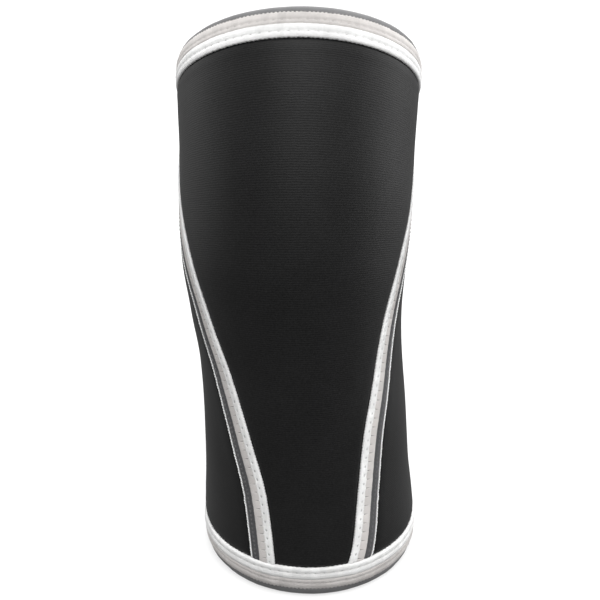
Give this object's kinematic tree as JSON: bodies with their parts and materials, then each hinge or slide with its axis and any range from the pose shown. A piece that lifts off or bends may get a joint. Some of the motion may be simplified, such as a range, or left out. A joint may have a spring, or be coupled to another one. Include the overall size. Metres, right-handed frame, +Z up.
{
  "type": "knee sleeve",
  "caption": "Padded neoprene knee sleeve in black with white and grey stitched side seams and rims, an open tube that leans back at the knee.",
  "frame": {"origin": "under the middle of the whole sleeve's bounding box, on the surface that its lower rim stands on", "axes": "+Z up along the sleeve, -Y towards the front of the knee, +X towards the viewer's right; the upper rim leans back to +Y"},
  "size_m": [0.1274, 0.1804, 0.2872],
  "materials": {
    "black_jersey": "fine knitted jersey face, matt with a soft sheen",
    "white_thread": "dense white stitching",
    "warm_grey_thread": "dense warm grey stitching",
    "dark_grey_thread": "dark grey chain stitching",
    "foam_edge": "bare cut foam edge, matt"
  },
  "bodies": {
    "root": {"front_panel": "black_jersey", "back_panel": "black_jersey", "top_lip": "foam_edge", "top_grey_band": "warm_grey_thread", "top_white_band": "white_thread", "bottom_lip": "foam_edge", "bottom_grey_band": "warm_grey_thread", "bottom_white_band": "white_thread", "left_white_strip": "white_thread", "left_grey_strip": "warm_grey_thread", "left_dark_strip": "dark_grey_thread", "left_edge_thread": "white_thread", "right_white_strip": "white_thread", "right_grey_strip": "warm_grey_thread", "right_dark_strip": "dark_grey_thread", "right_edge_thread": "white_thread"}
  },
  "joints": []
}
